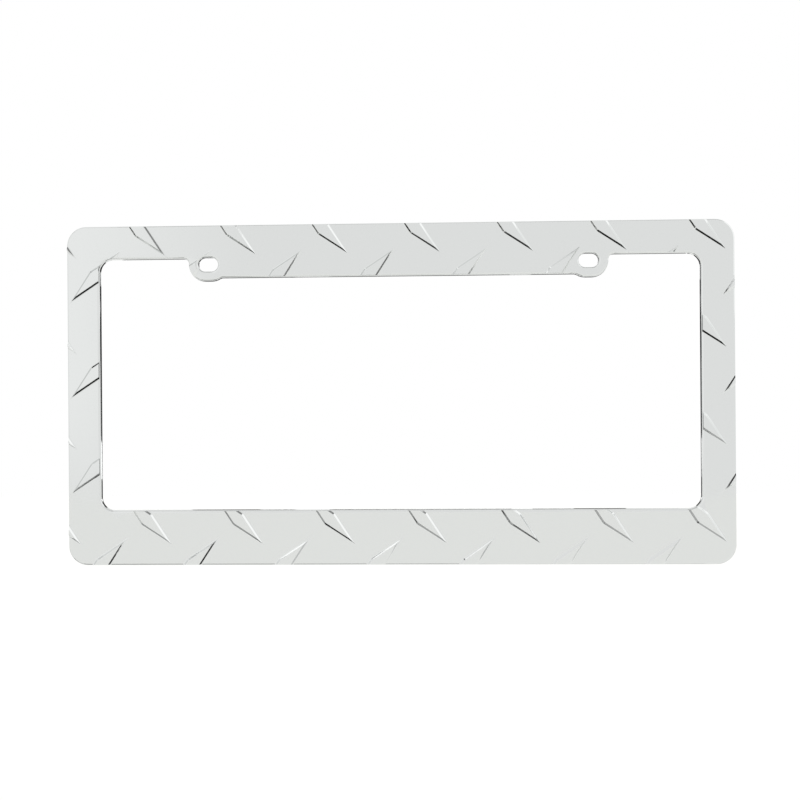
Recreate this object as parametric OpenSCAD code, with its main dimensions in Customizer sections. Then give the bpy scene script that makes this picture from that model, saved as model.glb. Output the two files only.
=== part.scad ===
// Number plate holder: a one-piece die-cast frame with a raised tread of crossed
// lugs, fixed through two slotted ears at the top of its window.
// The frame stands as it is fixed to a car: X across, Z up, its front towards -Y.
// The origin lies midway between the two slots, on the seat that bears on the plate.

/* [Frame] */
// Width over the whole frame
frame_w = 311.9; // [300:0.1:330]
// Height over the whole frame
frame_h = 159.6; // [152:0.1:180]
// Radius of the four outer corners
corner_r = 9; // [5:0.5:14]
// Rounding of the outer edge of the face
edge_r = 1; // [0.4:0.1:1.4]
// Rounding of the outer edge of the lip, at the back
back_r = 0.4; // [0.2:0.1:0.8]

/* [Section] */
// Thickness of the face
face_t = 2; // [1.2:0.1:3]
// Depth of the flange round the window, behind the face
flange_d = 0.6; // [0.4:0.1:3]
// Width of that flange
flange_w = 2.2; // [1.4:0.1:3]
// Rounding of the window's edge and the slots' edges at the front
rim_r = 1.1; // [0.4:0.05:1.3]
// Depth of the outer lip behind the seat, which hides the edge of the plate
lip_d = 1.8; // [1:0.1:4]
// Thickness of the outer lip at the face
lip_t = 2.4; // [1.6:0.1:4]
// Taper of the walls that leave the die, in degrees
draft = 3; // [0:0.5:6]

/* [Window] */
// Width of the two side bars
side_bar = 15.6; // [13:0.1:22]
// Width of the bottom bar
bottom_bar = 25.8; // [18:0.1:32]
// Width of the top bar between the ears
top_bar = 24.7; // [23:0.1:25.4]
// Width of the top bar outside the ears
top_bar_ends = 15.6; // [13:0.1:17]
// Radius of the window's four corners
window_r = 6; // [2:0.5:10]

/* [Ears and slots] */
// Distance between the centres of the two slots
slot_spacing = 177.8; // [120:0.1:220]
// Distance of the slots from the frame's top edge
slot_drop = 18.4; // [17.6:0.1:20]
// Length of a slot, end to end
slot_l = 9.2; // [8:0.1:16]
// Width of a slot
slot_w = 6.4; // [5.6:0.1:7.4]
// Width of the ear round a slot
ear_wall = 4.6; // [3.4:0.1:5.6]
// Fillet between an ear and the narrow end of the top bar
outer_fillet = 2.5; // [1:0.1:3]
// Fillet between an ear and the wide middle of the top bar
inner_fillet = 3; // [1:0.1:4]

/* [Tread lugs] */
// Length of a lug at its foot, tip to tip
lug_l = 34.2; // [20:0.1:38]
// Width of a lug at its foot
lug_w = 7.1; // [5:0.1:9]
// Height of a lug above the face
lug_h = 1; // [0.4:0.1:2]
// Width of the sloping flank, seen from the front
flank_w = 0.95; // [0.5:0.05:1.4]
// Fillet between the face and the foot of a flank
foot_fillet = 0.6; // [0.2:0.1:0.8]
// Rounding between a flank and the flat top
brow_r = 0.4; // [0.1:0.1:0.6]
// Radius of the blunt corner halfway along each side of a lug
knee_r = 3; // [2:0.5:6]
// Distance from one lug to the next of the same lean, across
lug_pitch_x = 43.13; // [38:0.01:60]
// Distance from one lug to the next of the same lean, up and down
lug_pitch_z = 45.15; // [40:0.01:60]
// Angle at which the lugs lie
lug_lean = 45; // [40:1:50]
// First upright lug, from the frame's left edge
first_lug_x = 13.6; // [5:0.1:30]
// First upright lug, from the frame's top edge
first_lug_z = 23.7; // [10:0.1:40]
// How far above an upright lug's row the falling lugs lie
falling_rise = 21.2; // [15:0.1:30]
// Extra step of the tread along the bottom and up the right side
tread_seam = 2.2; // [0:0.1:5]
// Distance of that step from the right edge
seam_right = 45; // [30:1:60]
// Distance of that step from the bottom edge
seam_bottom = 32; // [20:1:45]
// Set-back of the lugs from the frame's outer edge and the window
lug_setback = 0.4; // [0.1:0.05:0.8]

/* [Hidden] */
$fn = 64;
// Steps in the arcs of a lug's blunt corners, of the window's outline and of its rounded rim
knee_steps = 3;
corner_steps = 10;
fillet_steps = 4;
rim_steps = 4;
flank_steps = 3;
// How far one solid runs into the next, or a cutter past a face
over = 1;
// Heights above the seat, measured towards the front
face_back = flange_d;
face_front = flange_d + face_t;
lip_back = -lip_d;
// The slots, measured from the middle of the frame, and the ears round them
slot_z = frame_h / 2 - slot_drop;
slot_r = slot_w / 2;
slot_half = slot_l / 2 - slot_r;
ear_r = slot_r + ear_wall;
ear_inner_x = slot_spacing / 2 - slot_half;
ear_outer_x = slot_spacing / 2 + slot_half;
// Edges of the window, from the middle of the frame
window_x = frame_w / 2 - side_bar;
window_low = bottom_bar - frame_h / 2;
window_high = frame_h / 2 - top_bar_ends;
bar_low = frame_h / 2 - top_bar;
// Centres of the fillets beside an ear
outer_fillet_at = [ear_outer_x + fillet_reach(window_high, outer_fillet), window_high - outer_fillet];
inner_fillet_at = [ear_inner_x - fillet_reach(bar_low, inner_fillet), bar_low - inner_fillet];
into_ear = bearing(inner_fillet_at, [ear_inner_x, slot_z]);
out_of_ear = bearing([ear_outer_x, slot_z], outer_fillet_at);
// Lug angles and reach
tip_angle = atan(lug_w / lug_l);
flank_slope = atan(lug_h / flank_w);
foot_run = foot_fillet * tan(flank_slope / 2);
brow_run = brow_r * tan(flank_slope / 2);
lug_root = min(max(edge_r, rim_r), face_t / 2);
lug_reach = (lug_l / 2 + foot_run / sin(tip_angle)) * max(cos(lug_lean), sin(lug_lean));
// Numbers of lug rows and columns that can meet the frame
columns = ceil(frame_w / lug_pitch_x) + 1;
rows = ceil(frame_h / lug_pitch_z) + 1;
seam_column = floor((frame_w - first_lug_x - seam_right) / lug_pitch_x) + 1;
seam_row = floor((frame_h - first_lug_z - seam_bottom) / lug_pitch_z) + 1;

// How far beside an ear's round end the fillet of radius r has its centre, under an edge
function fillet_reach(edge_y, r) = sqrt(pow(ear_r + r, 2) - pow(slot_z - edge_y + r, 2));
// The direction in which point b lies from point a
function bearing(a, b) = atan2(b.y - a.y, b.x - a.x);

// A rectangle with round corners, given by its sides
module round_rect(left, right, low, high, r) {
    translate([left + r, low]) square([right - left - 2 * r, high - low]);
    translate([left, low + r]) square([right - left, high - low - 2 * r]);
    for (x = [left + r, right - r], y = [low + r, high - r]) translate([x, y]) circle(r);
}

// The frame's outline, set back from its outer edge
module inset_rect(inset) {
    x = frame_w / 2 - inset;
    y = frame_h / 2 - inset;
    round_rect(-x, x, -y, y, corner_r - inset);
}

// A slot's outline, or the ear's round it
module stadium(r) {
    translate([-slot_half, -r]) square([2 * slot_half, 2 * r]);
    for (side = [-1, 1]) translate([side * slot_half, 0]) circle(r);
}

// What a rounding takes off a corner whose point is at the origin, with the solid towards +X and -Y,
// and what stands on that corner, up to a rise
module rounding_waste(r, rise = over) {
    difference() {
        translate([-over, -r]) square([over + r, r + rise]);
        translate([r, -r]) circle(r);
    }
}

// The section of the outer lip, with x as its distance from the corner's centre
module lip_section() {
    taper = (face_back - lip_back) * tan(draft);
    difference() {
        polygon([
            [corner_r - lip_t, face_front], [corner_r, face_front], [corner_r, lip_back],
            [corner_r - lip_t + taper, lip_back], [corner_r - lip_t, face_back]
        ]);
        translate([corner_r, face_front]) rotate(180) mirror([0, 1]) rounding_waste(edge_r);
        translate([corner_r, lip_back]) rotate(180) rounding_waste(back_r);
    }
}

// The lip all round: four straight sides and four turned corners
module lip() {
    run_x = frame_w / 2 - corner_r;
    run_y = frame_h / 2 - corner_r;
    for (turn = [0, 180]) rotate(turn) {
        translate([run_x, run_y]) straight(2 * run_y) lip_section();
        translate([-run_x, run_y]) rotate(90) straight(2 * run_x) lip_section();
        translate([run_x, run_y]) bend(0, 90) lip_section();
        translate([-run_x, run_y]) bend(90, 180) lip_section();
    }
}

// A section run straight towards -Y, with its x towards +X
module straight(length) {
    rotate([90, 0, 0]) linear_extrude(length) children();
}

// A section turned about the origin, between two bearings
module bend(from, to) {
    rotate(from) rotate_extrude(angle = to - from) children();
}

// Points along an arc, whose first one is left out where it repeats the last arc's end
function arc(centre, r, from, to, steps, first = 0) =
    [for (k = [first:steps]) let (turn = from + (to - from) * k / steps) centre + r * [cos(turn), sin(turn)]];
function mirrored(points) = [for (k = [len(points) - 1:-1:0]) [-points[k].x, points[k].y]];
function at_height(points, z) = [for (p = points) [p.x, p.y, z]];

// The right half of the window's outline, grown into the frame: from the wide middle
// of the top bar round the ear and down to the bottom bar
function half_window(grow) = let (
    corner_x = window_x - window_r,
    ear = ear_r - grow,
    corner = window_r + grow
) concat(
    arc(inner_fillet_at, inner_fillet + grow, 90, into_ear, fillet_steps),
    arc([ear_inner_x, slot_z], ear, into_ear - 180, -90, fillet_steps, first = 1),
    arc([ear_outer_x, slot_z], ear, -90, out_of_ear, corner_steps),
    arc(outer_fillet_at, outer_fillet + grow, 180 + out_of_ear, 90, corner_steps, first = 1),
    arc([corner_x, window_high - window_r], corner, 90, 0, corner_steps),
    arc([corner_x, window_low + window_r], corner, 0, -90, corner_steps)
);
function window_outline(grow) = concat(half_window(grow), mirrored(half_window(grow)));
module window(grow) {
    polygon(window_outline(grow));
}

// The section of the window's flange: how far each point lies in the frame, and its height
flange_section = concat(
    [[-(face_front - rim_r) * tan(draft), 0]],
    [for (k = [0:rim_steps]) let (turn = 90 * k / rim_steps)
        [rim_r * (1 - cos(turn)), face_front - rim_r * (1 - sin(turn))]],
    [[flange_w, face_front], [flange_w, face_back], [flange_w - face_back * tan(draft), 0]]
);

// The flange round the window: its outline at each point of its section, joined into one ring
module flange() {
    rings = len(flange_section);
    n = len(window_outline(0));
    polyhedron(
        [for (at = flange_section) each at_height(window_outline(at.x), at.y)],
        [for (k = [0:rings - 1], i = [0:n - 1]) let (up = (k + 1) % rings * n, along = (i + 1) % n)
            [k * n + i, up + i, up + along, k * n + along]]
    );
}

// A lug's outline, set in from its foot: sharp tips on x and blunt corners on y
function half_lug(inset) = let (
    r = knee_r - inset,
    knee = lug_w / 2 - inset / cos(tip_angle) - r / cos(tip_angle)
) concat(
    [[lug_l / 2 - inset / sin(tip_angle), 0]],
    arc([0, knee], r, 90 - tip_angle, 90 + tip_angle, knee_steps)
);
function lug_outline(inset) = concat(half_lug(inset), -half_lug(inset));

// The section of a lug's flank: how far each point lies inside its foot, and its height
lug_section = concat(
    [[-foot_run, -lug_root]],
    [for (k = [0:flank_steps]) let (turn = flank_slope * k / flank_steps)
        [foot_fillet * sin(turn) - foot_run, foot_fillet * (1 - cos(turn))]],
    [for (k = [flank_steps:-1:0]) let (turn = flank_slope * k / flank_steps)
        [flank_w + brow_run - brow_r * sin(turn), lug_h - brow_r * (1 - cos(turn))]]
);

// One lug: a root sunk in the face, sloping flanks and a flat top
module lug() {
    rings = len(lug_section);
    n = len(lug_outline(0));
    polyhedron(
        [for (at = lug_section) each at_height(lug_outline(at.x), at.y)],
        concat(
            [[for (k = [0:n - 1]) k]],
            [for (ring = [0:rings - 2], k = [0:n - 1]) let (low = ring * n, next = (k + 1) % n)
                [low + k, low + n + k, low + n + next, low + next]],
            [[for (k = [n - 1:-1:0]) (rings - 1) * n + k]]
        )
    );
}

// The step that the tread takes along the bottom and up the right side
function seam_step(i, j) = (i >= seam_column || j >= seam_row) ? tread_seam : 0;
// The centre of an upright lug, and of the falling lug up and to its right
function upright_at(i, j) = [
    first_lug_x - frame_w / 2 + i * lug_pitch_x + seam_step(i, j),
    frame_h / 2 - first_lug_z - j * lug_pitch_z
];
function falling_at(i, j) = upright_at(i, j) + [lug_pitch_x / 2, falling_rise];
// Whether a lug there meets the frame's bars at all
function meets_bars(c) =
    abs(c.x) - lug_reach < frame_w / 2 && abs(c.y) - lug_reach < frame_h / 2
    && (abs(c.x) + lug_reach > window_x || c.y + lug_reach > bar_low || c.y - lug_reach < window_low);

// The tread over the whole frame, still running past its edges
module tread() {
    for (i = [-1:columns], j = [-1:rows]) {
        if (meets_bars(upright_at(i, j))) translate(upright_at(i, j)) rotate(lug_lean) lug();
        if (meets_bars(falling_at(i, j))) translate(falling_at(i, j)) rotate(-lug_lean) lug();
    }
}

// A slot, rounded over at the front, where it also clears any lug off its rim
module slot() {
    linear_extrude(2 * (face_front + lug_h), center = true) stadium(slot_r);
    for (turn = [0, 180]) rotate(turn) {
        translate([slot_half, 0, face_front]) bend(-90, 90) translate([slot_r, 0]) slot_rim();
        translate([-slot_half, slot_r, face_front]) rotate(90) straight(2 * slot_half) slot_rim();
    }
}
module slot_rim() {
    rounding_waste(rim_r, lug_h + over);
}

// The frame as drawn from the front: x across, y up, z towards the viewer
module frame_from_front() {
    difference() {
        union() {
            lip();
            flange();
            // Face, from the middle of the lip to the middle of the flange
            translate([0, 0, face_back]) linear_extrude(face_t) difference() {
                inset_rect(lip_t / 2);
                window(flange_w / 2);
            }
            // Solid bosses round the slots
            for (side = [-1, 1]) translate([side * slot_spacing / 2, slot_z])
                linear_extrude(face_back + face_t / 2) stadium(ear_r - flange_w / 2);
            // Tread
            intersection() {
                translate([0, 0, face_front]) tread();
                translate([0, 0, face_back]) linear_extrude(face_t + lug_h + over) difference() {
                    inset_rect(lug_setback);
                    window(lug_setback);
                }
            }
        }
        for (side = [-1, 1]) translate([side * slot_spacing / 2, slot_z]) slot();
    }
}

module plate_frame() {
    color("#dcdedd") rotate([90, 0, 0]) translate([0, -slot_z, 0]) frame_from_front();
}

plate_frame();
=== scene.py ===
import math
import bmesh
import bpy
from mathutils import Matrix, Quaternion, Vector


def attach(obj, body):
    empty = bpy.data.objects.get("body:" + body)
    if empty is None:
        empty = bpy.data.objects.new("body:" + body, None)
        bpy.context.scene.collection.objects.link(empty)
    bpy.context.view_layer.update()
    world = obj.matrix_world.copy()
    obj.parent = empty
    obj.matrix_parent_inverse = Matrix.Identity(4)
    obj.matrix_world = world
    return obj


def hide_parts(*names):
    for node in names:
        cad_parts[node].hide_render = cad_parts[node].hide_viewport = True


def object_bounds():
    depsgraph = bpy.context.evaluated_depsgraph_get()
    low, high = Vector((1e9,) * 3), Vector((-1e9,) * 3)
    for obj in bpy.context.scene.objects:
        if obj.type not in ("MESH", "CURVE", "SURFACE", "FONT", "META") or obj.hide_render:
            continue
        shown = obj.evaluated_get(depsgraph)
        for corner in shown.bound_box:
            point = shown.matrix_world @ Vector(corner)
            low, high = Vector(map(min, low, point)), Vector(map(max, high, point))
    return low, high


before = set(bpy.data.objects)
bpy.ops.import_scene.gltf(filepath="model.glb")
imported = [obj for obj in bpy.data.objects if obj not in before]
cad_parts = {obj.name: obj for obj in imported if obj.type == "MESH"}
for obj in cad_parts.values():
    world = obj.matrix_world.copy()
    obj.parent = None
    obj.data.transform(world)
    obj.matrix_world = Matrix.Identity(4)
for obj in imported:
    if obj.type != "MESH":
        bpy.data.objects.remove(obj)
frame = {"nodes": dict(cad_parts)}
cadLow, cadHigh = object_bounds()
frameMiddle = (cadLow + cadHigh) / 2
mm = 0.001  # sizes on the frame are real millimetres times this, and the stage's are in metres
print("frame loaded:", ", ".join(frame["nodes"]))


def linear(hexColour):  # an sRGB colour as written, turned to the linear one that a socket wants
    parts = [int(hexColour[i:i + 2], 16) / 255 for i in (1, 3, 5)]
    parts = [c / 12.92 if c <= 0.04045 else ((c + 0.055) / 1.055) ** 2.4 for c in parts]
    return (*parts, 1)


def addNode(tree, kind, settings=None, inputs=None):  # inputs hold values, or sockets to link
    node = tree.nodes.new(kind)
    for name, value in (settings or {}).items():
        setattr(node, name, value)
    for name, value in (inputs or {}).items():
        if isinstance(value, bpy.types.NodeSocket):
            tree.links.new(value, node.inputs[name])
        else:
            node.inputs[name].default_value = value
    return node


def newMaterial(name):
    material = bpy.data.materials.new(name)
    material.use_nodes = True
    material.node_tree.nodes.clear()
    return material, material.node_tree


plating = {
    "colour": "#DBDDDC",
    "roughness": (0.05, 0.09),   # where the polish is clearest and where it is dullest
    "hazeSize": 14 * mm,         # how far apart the slightly duller patches are
    "hazeDetail": 3,
    "hazeRange": (0.3, 0.7),     # the part of the noise that goes from clear to dull
    "waveSize": 5 * mm,          # the face's faint undulation
    "waveDetail": 2,
    "waveDepth": 0.004 * mm,
    "flankSize": 1.7 * mm,       # the uneven lug flanks, as cast
    "flankDetail": 1,
    "flankDepth": 0.008 * mm,
    "flankTilt": (0.985, 0.90),  # how square to the face a flat and a flank are
    "backRoughness": 0.34,       # the unpolished back, satin as it left the die
    "backTilt": (0.3, 0.8),      # how far backwards a side faces, from polished to unpolished
}


def brightChrome():  # bright chrome plate over die-cast zinc: a clear mirror, wavier on the flanks
    material, tree = newMaterial("bright_chrome_plate")
    place = addNode(tree, "ShaderNodeTexCoord")
    noise = {}
    for part in ("haze", "wave", "flank"):
        noise[part] = addNode(tree, "ShaderNodeTexNoise", inputs={
            "Vector": place.outputs["Object"], "Scale": 1 / plating[part + "Size"],
            "Detail": plating[part + "Detail"]}).outputs["Fac"]
    clear, dull = plating["roughness"]
    clearFrom, dullFrom = plating["hazeRange"]
    polish = addNode(tree, "ShaderNodeMapRange", inputs={
        "Value": noise["haze"], "From Min": clearFrom, "From Max": dullFrom,
        "To Min": clear, "To Max": dull})
    facing = addNode(tree, "ShaderNodeSeparateXYZ", inputs={"Vector": place.outputs["Normal"]})
    polished, unpolished = plating["backTilt"]
    finish = addNode(tree, "ShaderNodeMapRange", inputs={
        "Value": facing.outputs["Y"], "From Min": polished, "From Max": unpolished,
        "To Min": polish.outputs["Result"], "To Max": plating["backRoughness"]})
    square = addNode(tree, "ShaderNodeMath", {"operation": "ABSOLUTE"}, {0: facing.outputs["Y"]})
    flat, steep = plating["flankTilt"]
    onFlank = addNode(tree, "ShaderNodeMapRange", {"interpolation_type": "SMOOTHSTEP"}, {
        "Value": square.outputs[0], "From Min": flat, "From Max": steep})
    waves = addNode(tree, "ShaderNodeBump", inputs={
        "Height": noise["wave"], "Distance": plating["waveDepth"], "Strength": 1})
    lumps = addNode(tree, "ShaderNodeBump", inputs={
        "Height": noise["flank"], "Distance": plating["flankDepth"],
        "Strength": onFlank.outputs["Result"], "Normal": waves.outputs["Normal"]})
    shader = addNode(tree, "ShaderNodeBsdfPrincipled", inputs={
        "Base Color": linear(plating["colour"]), "Metallic": 1.0,
        "Roughness": finish.outputs["Result"], "Normal": lumps.outputs["Normal"]})
    addNode(tree, "ShaderNodeOutputMaterial", inputs={"Surface": shader.outputs["BSDF"]})
    return material


casting = {
    "mergeGap": 0.001 * mm,         # points closer than this are one
    "slimGap": 0.0001 * mm,         # and edges shorter than this go
    "sharpFrom": math.radians(50),  # edges that turn more than this stay crisp
    "faceWeight": 100,              # how much the large faces rule the shading
}


def chromeFrame():  # the casting's own surface, joined up and shaded as one
    node = frame["nodes"]["plate_frame"]
    mesh = node.data.copy()
    mesh.name = "chrome_frame"
    shape = bmesh.new()
    shape.from_mesh(mesh)
    bmesh.ops.remove_doubles(shape, verts=shape.verts, dist=casting["mergeGap"])
    bmesh.ops.dissolve_degenerate(shape, edges=shape.edges, dist=casting["slimGap"])
    for face in shape.faces:
        face.smooth = True
    for edge in shape.edges:
        edge.smooth = len(edge.link_faces) == 2 and edge.calc_face_angle() < casting["sharpFrom"]
    openEdges = sum(not edge.is_manifold for edge in shape.edges)
    print("casting:", len(shape.faces), "faces,", openEdges, "open edges")
    shape.to_mesh(mesh)
    shape.free()
    mesh.materials.clear()
    mesh.materials.append(brightChrome())
    piece = bpy.data.objects.new("chrome_frame", mesh)
    bpy.context.scene.collection.objects.link(piece)
    weights = piece.modifiers.new("even shading", "WEIGHTED_NORMAL")
    weights.keep_sharp = True
    weights.weight = casting["faceWeight"]
    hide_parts("plate_frame")
    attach(piece, "root")


chromeFrame()
print("chrome frame made")

floorPlan = {
    "drop": 0.30,   # under the frame's lower edge
    "size": 8.0,
    "colour": "#E6E6E4",
    "roughness": 0.9,
    "lift": 0.22,   # its own light, which takes it to white, as the eye and the chrome see it
}


def seenDirectly(tree):  # 1 for what the camera sees, also by way of metal and glass
    seen = addNode(tree, "ShaderNodeLightPath")
    shiny = addNode(tree, "ShaderNodeMath", {"operation": "MAXIMUM"}, {
        0: seen.outputs["Is Glossy Ray"], 1: seen.outputs["Is Transmission Ray"]})
    return addNode(tree, "ShaderNodeMath", {"operation": "MAXIMUM"}, {
        0: seen.outputs["Is Camera Ray"], 1: shiny.outputs[0]}).outputs[0]


def paleFloor():
    shape = bmesh.new()
    bmesh.ops.create_grid(shape, x_segments=1, y_segments=1, size=floorPlan["size"] / 2)
    bmesh.ops.translate(shape, verts=shape.verts, vec=(0, 0, cadLow.z - floorPlan["drop"]))
    mesh = bpy.data.meshes.new("floor")
    shape.to_mesh(mesh)
    shape.free()
    material, tree = newMaterial("pale_floor")
    glow = addNode(tree, "ShaderNodeMath", {"operation": "MULTIPLY"}, {
        0: seenDirectly(tree), 1: floorPlan["lift"]})
    shader = addNode(tree, "ShaderNodeBsdfPrincipled", inputs={
        "Base Color": linear(floorPlan["colour"]), "Roughness": floorPlan["roughness"],
        "Emission Color": (1, 1, 1, 1), "Emission Strength": glow.outputs[0]})
    addNode(tree, "ShaderNodeOutputMaterial", inputs={"Surface": shader.outputs["BSDF"]})
    mesh.materials.append(material)
    floor = bpy.data.objects.new("floor", mesh)
    bpy.context.scene.collection.objects.link(floor)


paleFloor()
print("floor laid")

room = {
    "strength": 1.0,         # white all round
    "glow": 0.115,           # what the glow adds to it
    "left": (-0.15, -0.33),  # where the glow starts and is full, by how far left one looks
    "above": (-0.13, 0.01),  # and by how far up
    "front": (-0.50, -0.80),
}


def whiteRoom():  # white all round, with a soft glow in front and to the left, above the floor
    world = bpy.data.worlds.new("white_room")
    bpy.context.scene.world = world
    world.use_nodes = True
    tree = world.node_tree
    tree.nodes.clear()
    place = addNode(tree, "ShaderNodeTexCoord")
    way = addNode(tree, "ShaderNodeSeparateXYZ", inputs={"Vector": place.outputs["Generated"]})
    glow = room["glow"]
    for axis, part in (("X", "left"), ("Z", "above"), ("Y", "front")):
        start, full = room[part]
        ramp = addNode(tree, "ShaderNodeMapRange", {"interpolation_type": "SMOOTHSTEP"}, {
            "Value": way.outputs[axis], "From Min": start, "From Max": full, "To Max": glow})
        glow = ramp.outputs["Result"]
    bright = addNode(tree, "ShaderNodeMath", {"operation": "ADD"}, {0: room["strength"], 1: glow})
    light = addNode(tree, "ShaderNodeBackground", inputs={
        "Color": (1, 1, 1, 1), "Strength": bright.outputs[0]})
    addNode(tree, "ShaderNodeOutputWorld", inputs={"Surface": light.outputs["Background"]})


cardLevels = {  # above the frame's middle
    "low": -0.34,
    "lane": -0.345,  # grey lanes, just under the black cards that cover parts of them
    "high": 1.50,
    "highest": 1.51,
}
cards = {  # strips that lie level for the chrome to show: the ends are across and back
    "low_left": {"level": "low", "tone": 0.02, "width": 0.075,
                 "ends": ((-0.565, -0.012), (-0.385, -0.012))},
    "low_left_front": {"level": "low", "tone": 0.02, "width": 0.055,
                       "ends": ((-0.550, -0.172), (-0.440, -0.160))},
    "low_left_lane": {"level": "lane", "tone": 0.55, "width": 0.130,
                      "ends": ((-0.570, -0.110), (-0.380, -0.110))},
    "low_far_left": {"level": "low", "tone": 0.05, "width": 0.050,
                     "ends": ((-0.80, -0.050), (-0.57, -0.135))},
    "low_farthest": {"level": "low", "tone": 0.03, "width": 0.100,
                     "ends": ((-1.50, -0.300), (-0.82, 0.005))},
    "low_back": {"level": "low", "tone": 0.02, "width": 0.045,
                 "ends": ((-0.400, -0.020), (-0.185, -0.066))},
    "low_middle": {"level": "low", "tone": 0.02, "width": 0.022,
                   "ends": ((-0.090, -0.019), (-0.045, -0.016))},
    "low_front": {"level": "low", "tone": 0.02, "width": 0.120,
                  "ends": ((-0.300, -0.168), (0.030, -0.087))},
    "low_lane": {"level": "lane", "tone": 0.55, "width": 0.100,
                 "ends": ((-0.400, -0.075), (0.060, 0.000))},
    "low_right": {"level": "low", "tone": 0.02, "width": 0.050,
                  "ends": ((0.075, -0.038), (0.200, -0.020))},
    "low_right_lane": {"level": "lane", "tone": 0.70, "width": 0.055,
                       "ends": ((0.215, -0.006), (0.400, -0.080))},
    "low_far_right": {"level": "low", "tone": 0.20, "width": 0.070,
                      "ends": ((0.560, -0.110), (0.820, -0.030))},
    "high": {"level": "high", "tone": 0.30, "width": 0.350,
             "ends": ((-0.55, -0.275), (1.25, -0.275))},
    "high_left": {"level": "high", "tone": 0.03, "width": 0.180,
                  "ends": ((-2.00, -0.590), (-1.29, -0.235))},
    "high_bright": {"level": "highest", "tone": 1.40, "width": 0.200,
                    "ends": ((-1.66, -0.060), (-1.02, -0.110))},
}
# The dark cards behind the window are painted shade. They stand in for the frame's shadow on a
# backing that the scene doesn't have, so the window and slot walls show that shade in their
# reflections. behind_bottom glows brighter than the room, a painted highlight on the window's
# bottom wall.
painted_shade_and_highlight_cards = {  # and cards that stand behind the window for its walls to show, as painted shade and one painted highlight
    "behind_left": {"tone": 0.03, "back": 0.12,
                    "across": (-0.125, -0.065), "up": (-0.065, 0.065)},
    "behind_right": {"tone": 0.03, "back": 0.12,
                     "across": (0.072, 0.125), "up": (-0.065, 0.065)},
    "behind_top": {"tone": 0.03, "back": 0.121,
                   "across": (-0.165, 0.160), "up": (0.022, 0.052)},
    "behind_middle": {"tone": 0.02, "back": 0.12,
                      "across": (-0.045, 0.060), "up": (-0.026, 0.030)},
    "behind_left_slot": {"tone": 0.02, "back": 0.12,
                         "across": (-0.085, -0.020), "up": (0.058, 0.090)},
    "behind_right_slot": {"tone": 0.02, "back": 0.12,
                          "across": (0.010, 0.092), "up": (0.058, 0.090)},
    # a painted highlight for the window's bottom wall to reflect
    "behind_bottom": {"tone": 1.50, "back": 0.119,
                      "across": (-0.085, 0.095), "up": (-0.048, -0.026)},
}


def stageCard(name, tone, place):  # a unit square set by its matrix, that only reflections see
    shape = bmesh.new()
    bmesh.ops.create_grid(shape, x_segments=1, y_segments=1, size=0.5, matrix=place)
    mesh = bpy.data.meshes.new(name)
    shape.to_mesh(mesh)
    shape.free()
    material, tree = newMaterial(name)
    glow = addNode(tree, "ShaderNodeEmission", inputs={"Color": (1, 1, 1, 1), "Strength": tone})
    addNode(tree, "ShaderNodeOutputMaterial", inputs={"Surface": glow.outputs["Emission"]})
    mesh.materials.append(material)
    card = bpy.data.objects.new(name, mesh)
    card.visible_camera = card.visible_diffuse = False
    card.visible_shadow = card.visible_transmission = False
    bpy.context.scene.collection.objects.link(card)


def cardsRound():
    for name, card in cards.items():
        height = frameMiddle.z + cardLevels[card["level"]]
        start, end = (Vector((frameMiddle.x + x, y, height)) for x, y in card["ends"])
        run = end - start
        turned = Matrix.Rotation(math.atan2(run.y, run.x), 4, "Z")
        place = Matrix.Translation((start + end) / 2) @ turned
        stageCard(name, card["tone"], place @ Matrix.Diagonal((run.length, card["width"], 1, 1)))
    # the painted shade cards behind the window, and the one painted highlight
    for name, card in painted_shade_and_highlight_cards.items():
        (left, right), (low, high) = card["across"], card["up"]
        x, z = frameMiddle.x + (left + right) / 2, frameMiddle.z + (low + high) / 2
        upright = Matrix.Rotation(math.radians(90), 4, "X")
        place = Matrix.Translation((x, card["back"], z)) @ upright
        stageCard(name, card["tone"], place @ Matrix.Diagonal((right - left, high - low, 1, 1)))


softbox = {"place": (1.05, -0.15, 0.50), "size": 1.0, "power": 1.0}  # metres and watts


def keyLight():  # a weak light from the right, turned to the frame's middle
    lamp = bpy.data.lights.new("softbox", "AREA")
    lamp.shape = "SQUARE"
    lamp.size = softbox["size"]
    lamp.energy = softbox["power"]
    box = bpy.data.objects.new("softbox", lamp)
    box.location = softbox["place"]
    aim = frameMiddle - Vector(softbox["place"])
    box.rotation_mode = "QUATERNION"
    box.rotation_quaternion = aim.to_track_quat("-Z", "Y")
    bpy.context.scene.collection.objects.link(box)


whiteRoom()
keyLight()
cardsRound()
print("studio lit, with", len(cards) + len(painted_shade_and_highlight_cards), "cards")

shot = {  # places are across and up from the frame's middle
    "lens": 51.3,
    "sensor": 36,
    "distance": 531.2 * mm,           # in front of the flat face
    "place": (21.4 * mm, -3.0 * mm),
    "lookAt": (0.9 * mm, -2.9 * mm),  # the point of the face in the middle of the picture
    "roll": math.radians(0.41),
    "lugHeight": 1.0 * mm,            # how far behind the lugs' tops the flat face lies
}


def camera():
    data = bpy.data.cameras.new("camera")
    data.lens = shot["lens"]
    data.sensor_width = shot["sensor"]
    eye = bpy.data.objects.new("camera", data)
    face = cadLow.y + shot["lugHeight"]
    right, up = shot["place"]
    eye.location = (frameMiddle.x + right, face - shot["distance"], frameMiddle.z + up)
    right, up = shot["lookAt"]
    aim = Vector((frameMiddle.x + right, face, frameMiddle.z + up)) - eye.location
    eye.rotation_mode = "QUATERNION"
    eye.rotation_quaternion = aim.to_track_quat("-Z", "Y") @ Quaternion((0, 0, 1), -shot["roll"])
    bpy.context.scene.collection.objects.link(eye)
    bpy.context.scene.camera = eye


camera()
bpy.context.scene.view_settings.view_transform = "Standard"
print("camera set")
